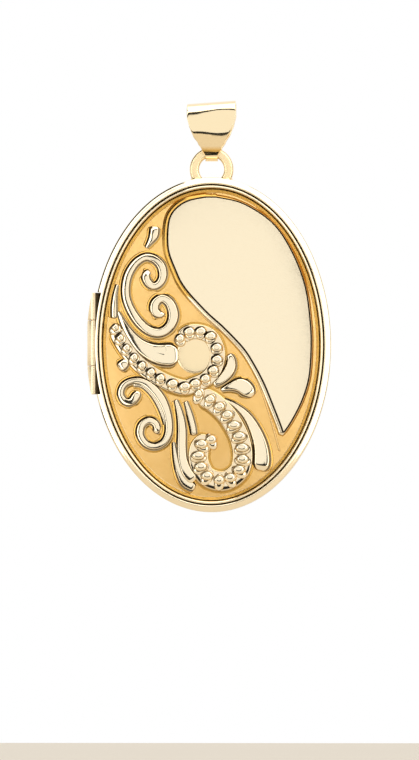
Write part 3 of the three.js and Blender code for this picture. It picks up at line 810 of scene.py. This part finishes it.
# Struck forms: (x, z, half width) along each one's middle line.
UPPER_SCROLL = [
    (-5.75, 7.15, 0.10), (-6.15, 6.75, 0.30), (-6.0, 6.1, 0.30), (-5.45, 5.68, 0.27),
    (-4.85, 5.95, 0.29), (-4.52, 6.7, 0.33), (-4.7, 7.6, 0.34), (-5.4, 8.3, 0.30),
    (-6.3, 8.45, 0.28), (-7.2, 7.85, 0.30), (-7.85, 6.8, 0.31), (-8.1, 5.6, 0.31),
    (-8.0, 4.4, 0.31), (-7.5, 3.2, 0.33), (-6.7, 2.1, 0.35), (-5.7, 1.35, 0.35), (-4.7, 1.25, 0.36),
    (-3.85, 1.85, 0.38), (-3.5, 2.9, 0.42), (-3.85, 4.0, 0.38), (-4.6, 4.5, 0.32),
    (-5.25, 4.05, 0.36), (-5.3, 3.3, 0.36), (-4.75, 2.95, 0.26), (-4.45, 3.2, 0.12),
]
LOWER_SCROLL = [
    (-6.85, -4.3, 0.12), (-7.05, -4.75, 0.32), (-7.55, -5.35, 0.30), (-8.2, -5.3, 0.26),
    (-8.58, -4.6, 0.22), (-8.3, -3.8, 0.22), (-7.5, -3.38, 0.22), (-6.5, -3.45, 0.26),
    (-5.5, -4.1, 0.34), (-4.7, -5.1, 0.36), (-4.2, -6.2, 0.32), (-3.95, -7.4, 0.29),
    (-4.02, -8.5, 0.27), (-4.5, -9.3, 0.25), (-5.35, -9.65, 0.24), (-6.2, -9.35, 0.25),
    (-6.72, -8.5, 0.27), (-6.55, -7.6, 0.28), (-5.9, -7.18, 0.26), (-5.3, -7.4, 0.26),
    (-5.08, -7.95, 0.27), (-5.35, -8.35, 0.18),
]
LOWER_SCROLL_INNER = [(-7.4, -3.75, 0.05), (-6.5, -3.85, 0.11), (-5.6, -4.6, 0.15), (-4.95, -5.6, 0.16),
                      (-4.5, -6.7, 0.13), (-4.3, -7.6, 0.05)]
DROP = [(-6.18, 9.35, 0.04), (-5.75, 9.95, 0.2), (-5.4, 10.6, 0.36), (-5.32, 11.5, 0.36)]
EDGE_LEAF = [(-8.9, 5.9, 0.04), (-9.12, 4.9, 0.12), (-9.2, 3.8, 0.2), (-9.2, 2.6, 0.2)]
FOLDED_LEAF = [
    (-8.85, 3.3, 0.04), (-8.35, 2.2, 0.2), (-7.6, 1.0, 0.36), (-6.7, 0.0, 0.55),
    (-5.6, -0.65, 0.75), (-4.5, -0.9, 0.92), (-2.95, -0.9, 0.95),
]
FOLDED_LEAF_TOP = [(-7.2, 0.9, 0.1), (-6.2, 0.0, 0.3), (-5.2, -0.4, 0.42), (-3.9, -0.5, 0.5)]
LONG_LEFT_LEAF = [(-3.3, -5.15, 0.1), (-2.88, -6.6, 0.25), (-2.7, -8.0, 0.34), (-2.72, -9.6, 0.37),
                  (-2.62, -11.0, 0.4), (-2.2, -12.15, 0.47), (-1.5, -13.0, 0.42)]
LEFT_LEAF_STEP = [(-3.5, -9.2, 0.05), (-3.32, -10.6, 0.16), (-3.0, -12.0, 0.24), (-2.4, -13.1, 0.34),
                  (-1.45, -13.6, 0.32)]
THIN_LEAF = [(-2.35, -5.3, 0.1), (-1.95, -6.6, 0.2), (-1.65, -7.8, 0.22), (-1.55, -8.6, 0.2)]
LONG_RIGHT_LEAF = [(1.3, -5.15, 0.04), (2.4, -5.75, 0.16), (3.5, -6.75, 0.32), (4.3, -8.1, 0.47),
                   (4.82, -9.6, 0.6), (4.95, -11.0, 0.68), (4.75, -12.0, 0.6)]
CRESCENT = [
    (1.75, -0.8, 0.15), (2.0, -1.35, 0.32), (1.98, -2.05, 0.42), (1.6, -2.75, 0.42),
    (1.0, -3.35, 0.32), (0.3, -3.8, 0.14),
]
CRESCENT_LINE = [
    (1.95, -1.3, 0.04), (1.98, -1.9, 0.12), (1.75, -2.5, 0.14), (1.3, -3.0, 0.1), (0.8, -3.4, 0.04),
]
SMALL_LEAF = [
    (1.0, -4.28, 0.04), (1.9, -3.95, 0.3), (2.9, -3.85, 0.62), (3.6, -4.3, 0.6), (4.1, -4.9, 0.25),
]
HEART = [(-8.0, -1.3, 0.2), (-8.3, -1.8, 0.4), (-8.8, -2.2, 0.36)]
LEAF_SCORE = [(-7.75, 1.9, 0.02), (-7.3, 0.9, 0.04), (-6.52, 0.02, 0.055), (-5.57, -0.62, 0.055),
              (-4.75, -0.74, 0.055), (-4.18, -0.78, 0.05), (-4.06, -1.15, 0.03)]
FOLD_HEIGHT, SCORE_HEIGHT = 0.5, 0.38
DISC_MIDDLE, DISC_RADIUS = (-1.45, -0.9), 1.8
BEAD_FLATNESS = 3.6


def bead(bm, x, z, size, angle=0.0, lift=0.0, crease=0.0):
    """A squashed bead. size is along its row, across it and upwards; angle is the row's direction; crease
    sets how much painted shade darkens its flank.
    """
    rise, recess = layers(bm)
    made = bmesh.ops.create_uvsphere(bm, u_segments=28, v_segments=18, radius=1)["verts"]
    turned = Matrix.Rotation(-angle, 2) @ PAINTED_SHADE_FACING
    for vert in made:
        flank = min(1.0, math.hypot(vert.co.x, vert.co.y))
        vert.co.z = math.copysign(math.sqrt(1 - flank ** BEAD_FLATNESS), vert.co.z)
        # Painted shade: the flank takes the deeper sunk tone and a near-black rim, widest on the side
        # facing up and to the left.
        facing = max(0.0, (vert.co.x * turned.x + vert.co.y * turned.y) / (flank or 1))
        vert[rise] = 1 - crease * max(0.0, min(1.0, (flank - 0.84) / 0.12))
        vert[recess] = crease * max(0.0, min(1.0, (flank - 0.96 + 0.48 * facing) / 0.06))
    bmesh.ops.scale(bm, vec=size, verts=made)
    bmesh.ops.rotate(bm, cent=(0, 0, 0), matrix=Matrix.Rotation(angle, 3, "Z"), verts=made)
    bmesh.ops.translate(bm, vec=(x, z, lift), verts=made)


BEAD_SWELL, BEAD_HALF_DEEP, BEAD_HEIGHT = 1.12, 0.48, 0.5
CELL_DROP, RIBBON_DROP, RIBBON_HEIGHT = 0.22, 0.12, 0.12
# Bead rows: (x, z, half width) of each bead.
BEAD_LOOP = [(-9.1, 1.75, 0.36), (-8.62, 0.75, 0.38), (-8.02, -0.22, 0.4), (-7.3, -1.12, 0.42),
             (-6.52, -1.9, 0.44), (-5.65, -2.55, 0.46), (-4.75, -3.1, 0.48), (-3.6, -3.62, 0.58),
             (-2.42, -3.9, 0.6), (-1.42, -3.6, 0.55), (-0.45, -3.15, 0.5), (0.3, -2.35, 0.54),
             (0.66, -1.33, 0.56), (0.64, -0.2, 0.56), (0.05, 0.9, 0.58), (-0.9, 1.36, 0.56),
             (-1.98, 1.34, 0.56), (-2.88, 0.68, 0.46)]
BEAD_CROOK = [(-1.1, -4.62, 0.42), (0.0, -5.12, 0.54), (0.9, -5.82, 0.56), (1.65, -6.62, 0.6),
              (2.28, -7.6, 0.66), (2.78, -8.65, 0.68), (3.05, -9.75, 0.66), (3.08, -10.82, 0.62),
              (2.75, -11.85, 0.6), (1.9, -12.6, 0.58), (0.85, -12.82, 0.52), (-0.3, -12.42, 0.6),
              (-0.9, -11.55, 0.62), (-1.15, -10.5, 0.66), (-0.85, -9.4, 0.62), (0.1, -8.95, 0.54)]


def bead_row(name, places, cell, ribbon, crease):
    """Beads along a row. Each sits on a plump scalloped cell, and all of them on a low ribbon. crease is
    how strongly painted shade darkens the beads' flanks.
    """
    bm = bmesh.new()
    ridge(bm, [(x, z - RIBBON_DROP, ribbon) for x, z, _ in places], RIBBON_HEIGHT, RIBBON)
    for i, (x, z, half) in enumerate(places):
        before, after = places[max(0, i - 1)], places[min(len(places) - 1, i + 1)]
        angle = math.atan2(after[1] - before[1], after[0] - before[0])
        bead(bm, x, z - CELL_DROP, cell, angle, crease=crease * 0.7)
        wide = half * BEAD_SWELL
        bead(bm, x, z, (wide, min(wide, BEAD_HALF_DEEP), BEAD_HEIGHT), lift=0.06, crease=crease)
    return relief(name, bm, MATERIALS["relief"])


def ornament():
    ridges = {
        "upper_scroll": (UPPER_SCROLL, 0.45), "lower_scroll": (LOWER_SCROLL, 0.42),
        "inner_strip": (LOWER_SCROLL_INNER, 0.3), "drop": (DROP, 0.42), "edge_leaf": (EDGE_LEAF, 0.35),
        "folded_leaf": (FOLDED_LEAF, 0.36), "long_left_leaf": (LONG_LEFT_LEAF, 0.42),
        "left_leaf_step": (LEFT_LEAF_STEP, 0.2), "thin_leaf": (THIN_LEAF, 0.38),
        "long_right_leaf": (LONG_RIGHT_LEAF, 0.45), "crescent": (CRESCENT, 0.42),
        "small_leaf": (SMALL_LEAF, 0.42), "heart": (HEART, 0.4),
    }
    for name, (stations, height) in ridges.items():
        bm = bmesh.new()
        ridge(bm, stations, height)
        relief(name, bm, MATERIALS["relief"])
    folds = bmesh.new()
    for stations in (FOLDED_LEAF_TOP, CRESCENT_LINE):
        ridge(folds, stations, FOLD_HEIGHT, FOLD)
    ridge(folds, LEAF_SCORE, SCORE_HEIGHT, SCORE)
    relief("leaf_folds", folds, MATERIALS["relief"])
    bead_row("bead_loop", BEAD_LOOP, (0.54, 0.64, 0.3), 0.68, 1.0)
    bead_row("bead_crook", BEAD_CROOK, (0.54, 0.88, 0.3), 0.88, 0.6)
    pad = bmesh.new()
    bead(pad, *DISC_MIDDLE, (DISC_RADIUS, DISC_RADIUS, 0.1))
    relief("polished_disc", pad, MATERIALS["disc"])


# ---- Comma panel ----

# Its two edges, (z, x) from the top down.
COMMA_LEFT = [(14.0, -0.5), (13.6, -2.3), (12.7, -3.5), (11.45, -3.98), (9.15, -3.98), (7.3, -3.35),
              (5.5, -2.45), (3.2, -0.4), (1.65, 1.3), (-0.18, 3.05), (-1.46, 3.95), (-3.6, 5.1),
              (-5.9, 6.05), (-7.7, 6.75), (-8.26, 6.93)]
COMMA_RIGHT = [
    (14.0, 0.5), (13.35, 3.1), (11.45, 5.9), (8.7, 7.7), (5.5, 8.9), (2.1, 9.38), (-0.34, 9.46),
    (-3.15, 9.25), (-5.3, 8.6), (-7.1, 7.7), (-8.26, 6.95),
]


def at_height(line, z):
    """Where a smooth edge, given as (z, x) points from the top down, crosses a height."""
    for (z1, x1), (z2, x2) in zip(line, line[1:]):
        if z2 <= z <= z1:
            return x1 + (x2 - x1) * (z1 - z) / ((z1 - z2) or 1)
    return line[-1][1]


def comma_border():
    """The fine step in the ground that follows the panel's lower left edge."""
    places = [(-2.6, 5.6), (-2.0, 4.4), (-1.0, 3.2), (0.0, 2.2), (1.0, 1.4), (2.0, 0.5), (2.9, -0.5),
              (3.6, -1.5), (4.3, -2.8), (5.0, -4.6), (5.7, -6.8), (6.2, -8.6), (6.6, -10.1)]
    half_width, height = 0.09, 0.05
    bm = bmesh.new()
    ridge(bm, [(x, z, half_width) for x, z in places], height, LINE)
    relief("comma_border", bm, MATERIALS["relief"])


COMMA_ROWS, COMMA_COLUMNS = 96, 28
COMMA_HEIGHT = 0.34
# The panel's edge from the top down: out on the left, out on the right, drop, painted crease shade, bright
# (low values take the deeper sunk tone, painted shade mixed with antique toning).
COMMA_EDGE = [
    (0.015, 0.015, 0.0, 0.2, 1), (0.015, 0.015, 0.02, 1, 1), (0.025, 0.025, 0.05, 1, 1),
    (0.05, 0.045, 0.08, 1, 1), (0.075, 0.06, 0.03, 1, 0.9), (0.02, 0.02, 0.0, 0.1, 0.8),
    (0.28, 0.02, 0.03, 0, 0.8), (0.04, 0.02, 0.05, 0.3, 0.2), (0.05, 0.04, 0.06, 0, 0),
    (0.12, 0.10, 0.03, 0, 0), (0.02, 0.02, 0.10, 0, 0),
]
STEP_BRIGHT_BELOW = 4.5  # above this height the step beside the panel takes the deeper sunk tone and a rougher finish
COMMA_ROOT = -0.12


def comma():
    left, _ = smooth_path(COMMA_LEFT, 0.2)
    right, _ = smooth_path(COMMA_RIGHT, 0.2)
    top, bottom = COMMA_LEFT[0][0], COMMA_LEFT[-1][0]
    bm = bmesh.new()
    rise, recess = layers(bm)
    bmesh.ops.create_grid(bm, x_segments=COMMA_COLUMNS, y_segments=COMMA_ROWS, size=1)
    for vert in bm.verts:
        share = (1 - vert.co.y) / 2
        share = (1 - math.cos(math.pi * share)) / 2
        z = top + (bottom - top) * share
        start, end = at_height(left, z), at_height(right, z)
        vert.co = (start + (end - start) * (vert.co.x + 1) / 2, z, COMMA_HEIGHT)
        vert[rise] = 1.0
    bmesh.ops.remove_doubles(bm, verts=bm.verts, dist=0.01)
    # Painted shade: the panel's walls take the near-black crease and its foot the deeper sunk tone.
    for out_left, out_right, drop, crease, tone in COMMA_EDGE:
        for vert in widen(bm, out_left, drop, out_right):
            vert[rise], vert[recess] = tone, crease
            if crease < 0.2 and tone < 1 and vert.co.y > STEP_BRIGHT_BELOW:
                vert[rise] = 0.1
    lower = bmesh.ops.duplicate(bm, geom=list(bm.faces) + list(bm.edges) + list(bm.verts))["geom"]
    for vert in (item for item in lower if isinstance(item, bmesh.types.BMVert)):
        vert.co.z = COMMA_ROOT
    bmesh.ops.bridge_loops(bm, edges=[edge for edge in bm.edges if edge.is_boundary])
    bmesh.ops.holes_fill(bm, edges=[edge for edge in bm.edges if edge.is_boundary], sides=0)
    relief("comma_panel", bm, MATERIALS["comma"], moved=(0, 0, 0))


def widen(bm, out_left, drop, out_right):
    """Carries the open edge of a sheet outwards and down, by its own width on each side."""
    sides = {}
    edges = [edge for edge in bm.edges if edge.is_boundary]
    for edge in edges:
        along = edge.verts[1].co - edge.verts[0].co
        normal = Vector((along.y, -along.x, 0)).normalized()
        middle = (edge.verts[0].co + edge.verts[1].co) / 2
        inside = edge.link_faces[0].calc_center_median() - middle
        if normal.dot(inside) > 0:
            normal.negate()
        for vert in edge.verts:
            sides.setdefault(vert.co.to_tuple(4), []).append(normal)
    made = bmesh.ops.extrude_edge_only(bm, edges=edges)["geom"]
    fresh = [item for item in made if isinstance(item, bmesh.types.BMVert)]
    for vert in fresh:
        found = sides[vert.co.to_tuple(4)]
        side = sum(found, Vector((0, 0, 0))).normalized()
        leftness = max(0.0, min(1.0, 0.5 - side.x * 1.5))
        vert.co += side * (out_right + (out_left - out_right) * leftness)
        vert.co.z -= drop
    return fresh


# ---- Loop and bail ----

LOOP_MIDDLE_Z = 16.9
LOOP_RADIUS = 1.67
LOOP_LOW, LOOP_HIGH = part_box("hanging_loop")
LOOP_Y = (LOOP_LOW.y + LOOP_HIGH.y) / 2 / MM - PARTING_Y / MM
WIRE_HALF_WIDTH, WIRE_HALF_DEPTH = 0.455, 0.4
WIRE_FLATNESS = 0.55
LOOP_FOOT_RADIUS, LOOP_FOOT_X, LOOP_FOOT_SPAN = 0.56, LOOP_RADIUS * 0.86, (15, 16.1)


def hanging_loop():
    section = []
    for x, y in arc((0, 0), (1, 1), 0, 351, 40):
        x, y = (math.copysign(abs(part) ** WIRE_FLATNESS, part) for part in (x, y))
        section.append((LOOP_RADIUS - 0.02 + WIRE_HALF_WIDTH * x, WIRE_HALF_DEPTH * y, 0))
    bm = spun(section, 144)
    bmesh.ops.translate(bm, vec=(0, LOOP_Y, LOOP_MIDDLE_Z), verts=bm.verts)
    ring = to_object(bm, "wire_loop")
    for side in (-1, 1):
        foot = rod(LOOP_FOOT_RADIUS, side * LOOP_FOOT_X, LOOP_Y, *LOOP_FOOT_SPAN, 48, 0.09)
        combine(ring, to_object(foot, "foot"), "UNION")
    combine(ring, to_object(oval_plug(-SOLDER_GAP, CUT_DEPTH + 1), "case_top"))
    finish(ring, MATERIALS["loop"], "back_half", ["hanging_loop"])


# The strip's side view: (out from the middle, height over the middle of the loop's wire).
BAIL_LEG = [
    (0.84, 0), (0.98, 0.35), (1.14, 0.72), (1.3, 1.08), (1.45, 1.42), (1.58, 1.75), (1.675, 2.15),
    (1.725, 2.75), (1.725, 3.45), (1.655, 4.0), (1.45, 4.38), (1.05, 4.64), (0.52, 4.76),
]
# (height over the middle of the loop's wire, half width)
BAIL_WIDTHS = [
    (-1.2, 0.58), (-0.45, 0.6), (0.35, 1.0), (0.95, 1.36), (1.75, 1.84), (2.6, 2.15), (3.4, 2.34),
    (5.4, 2.32),
]
BAIL_SKEW = 0.07
BAIL_THICKNESS = 0.28
BAIL_TOP = 4.93


def bail_width(height):
    for (z1, w1), (z2, w2) in zip(BAIL_WIDTHS, BAIL_WIDTHS[1:]):
        if z1 <= height <= z2:
            t = (height - z1) / (z2 - z1)
            t = t * t * (3 - 2 * t) * 0.5 + t * 0.5
            return w1 + (w2 - w1) * t
    return BAIL_WIDTHS[-1][1]


def bail():
    eye, spacing = 0.84, 0.1
    ripple, ripple_across, ripple_up = 0.02, 1.3, 1.7
    under = [(share * eye, -math.sqrt(1 - share * share) * eye) for share in (-0.71, 0, 0.71)]
    loop = [*under, *BAIL_LEG, (0, BAIL_TOP - BAIL_THICKNESS / 2)]
    loop += [(-out, height) for out, height in reversed(BAIL_LEG)]
    line, _ = smooth_path([*loop, *loop[:3]], spacing)
    start = next(i for i, p in enumerate(line) if p[0] > 0 > p[1])
    lap = len(line) - 1
    while math.dist(line[lap], line[start]) > 0.12 or lap < start + 20:
        lap -= 1
    line = line[start:lap]
    bm = bmesh.new()
    across = 20
    bmesh.ops.create_grid(bm, x_segments=across, y_segments=len(line), size=1)
    rows = {}
    for vert in bm.verts:
        row = round((vert.co.y + 1) / 2 * len(line))
        out, height = line[row % len(line)]
        x = vert.co.x * bail_width(height)
        out *= 1 + ripple * math.sin(ripple_across * x + 0.5) * math.sin(ripple_up * height)
        askew = BAIL_SKEW * max(0.0, min(1.0, height / 2))
        vert.co = (x, out, height + x * askew)
    bmesh.ops.remove_doubles(bm, verts=bm.verts, dist=1e-4)
    bmesh.ops.recalc_face_normals(bm, faces=bm.faces)
    bmesh.ops.solidify(bm, geom=list(bm.faces), thickness=BAIL_THICKNESS)
    sharp = [e for e in bm.edges if len(e.link_faces) == 2 and e.calc_face_angle(0) > math.radians(60)]
    bmesh.ops.bevel(bm, geom=sharp, offset=0.05, offset_type="OFFSET", affect="EDGES", segments=3,
                    profile=0.5, material=-1)
    bmesh.ops.translate(bm, vec=(0, LOOP_Y, LOOP_MIDDLE_Z + LOOP_RADIUS), verts=bm.verts)
    strap = to_object(bm, "folded_bail")
    # Painted shade and reflection of the loop's wire: the strip takes the deeper ochre tone where it wraps
    # round the wire.
    rise = strap.data.attributes.new("rise", "FLOAT", "POINT")
    for vert, value in zip(strap.data.vertices, rise.data):
        over = vert.co.z - LOOP_MIDDLE_Z - LOOP_RADIUS
        value.value = min(1.0, abs(over - 0.05) / 0.5)
    finish(strap, MATERIALS["bail"], "bail", ["bail"])


camera()
studio()
POLISH = polish_group()
GRAIN = grain_group()
MATERIALS = {
    "rim": polished("polished_rim", BRIGHT_GOLD, 0.06, 1.0, RECESS_GOLD),
    "comma": polished("polished_comma", BRIGHT_GOLD, 0.09, 0.6, RECESS_GOLD),
    "relief": polished("struck_relief", BRIGHT_GOLD, 0.05, 1.0, RECESS_GOLD),
    "disc": polished("burnished_disc", (0.98, 0.80, 0.50), 0.22, 0.6),
    "hinge": polished("hinge_gold", WARM_GOLD, 0.24),
    "loop": polished("loop_wire", (0.98, 0.78, 0.46), 0.3),
    # The bail's sunk colour is painted shade and reflection from the loop's wire.
    "bail": polished("bail_gold", (0.99, 0.82, 0.53), 0.06, 2.0, (0.85, 0.52, 0.14)),
    "plain_back": polished("plain_back", BRIGHT_GOLD, 0.10, 0.6),
    "holder": polished("holder_gold", WARM_GOLD, 0.16),
    "field": satin("blasted_field", FIELD_GOLD, FIELD_DEEP, 0.42, 0.000012),
    "film": clear_film(),
    "card": card_stock(),
}
case()
field()
comma_border()
comma()
ornament()
hanging_loop()
bail()
for half in ("front", "back"):
    for node, material in (("window", "film"), ("card", "card")):
        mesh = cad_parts[f"{half}_photo_{node}"].data
        mesh.materials.clear()
        mesh.materials.append(MATERIALS[material])
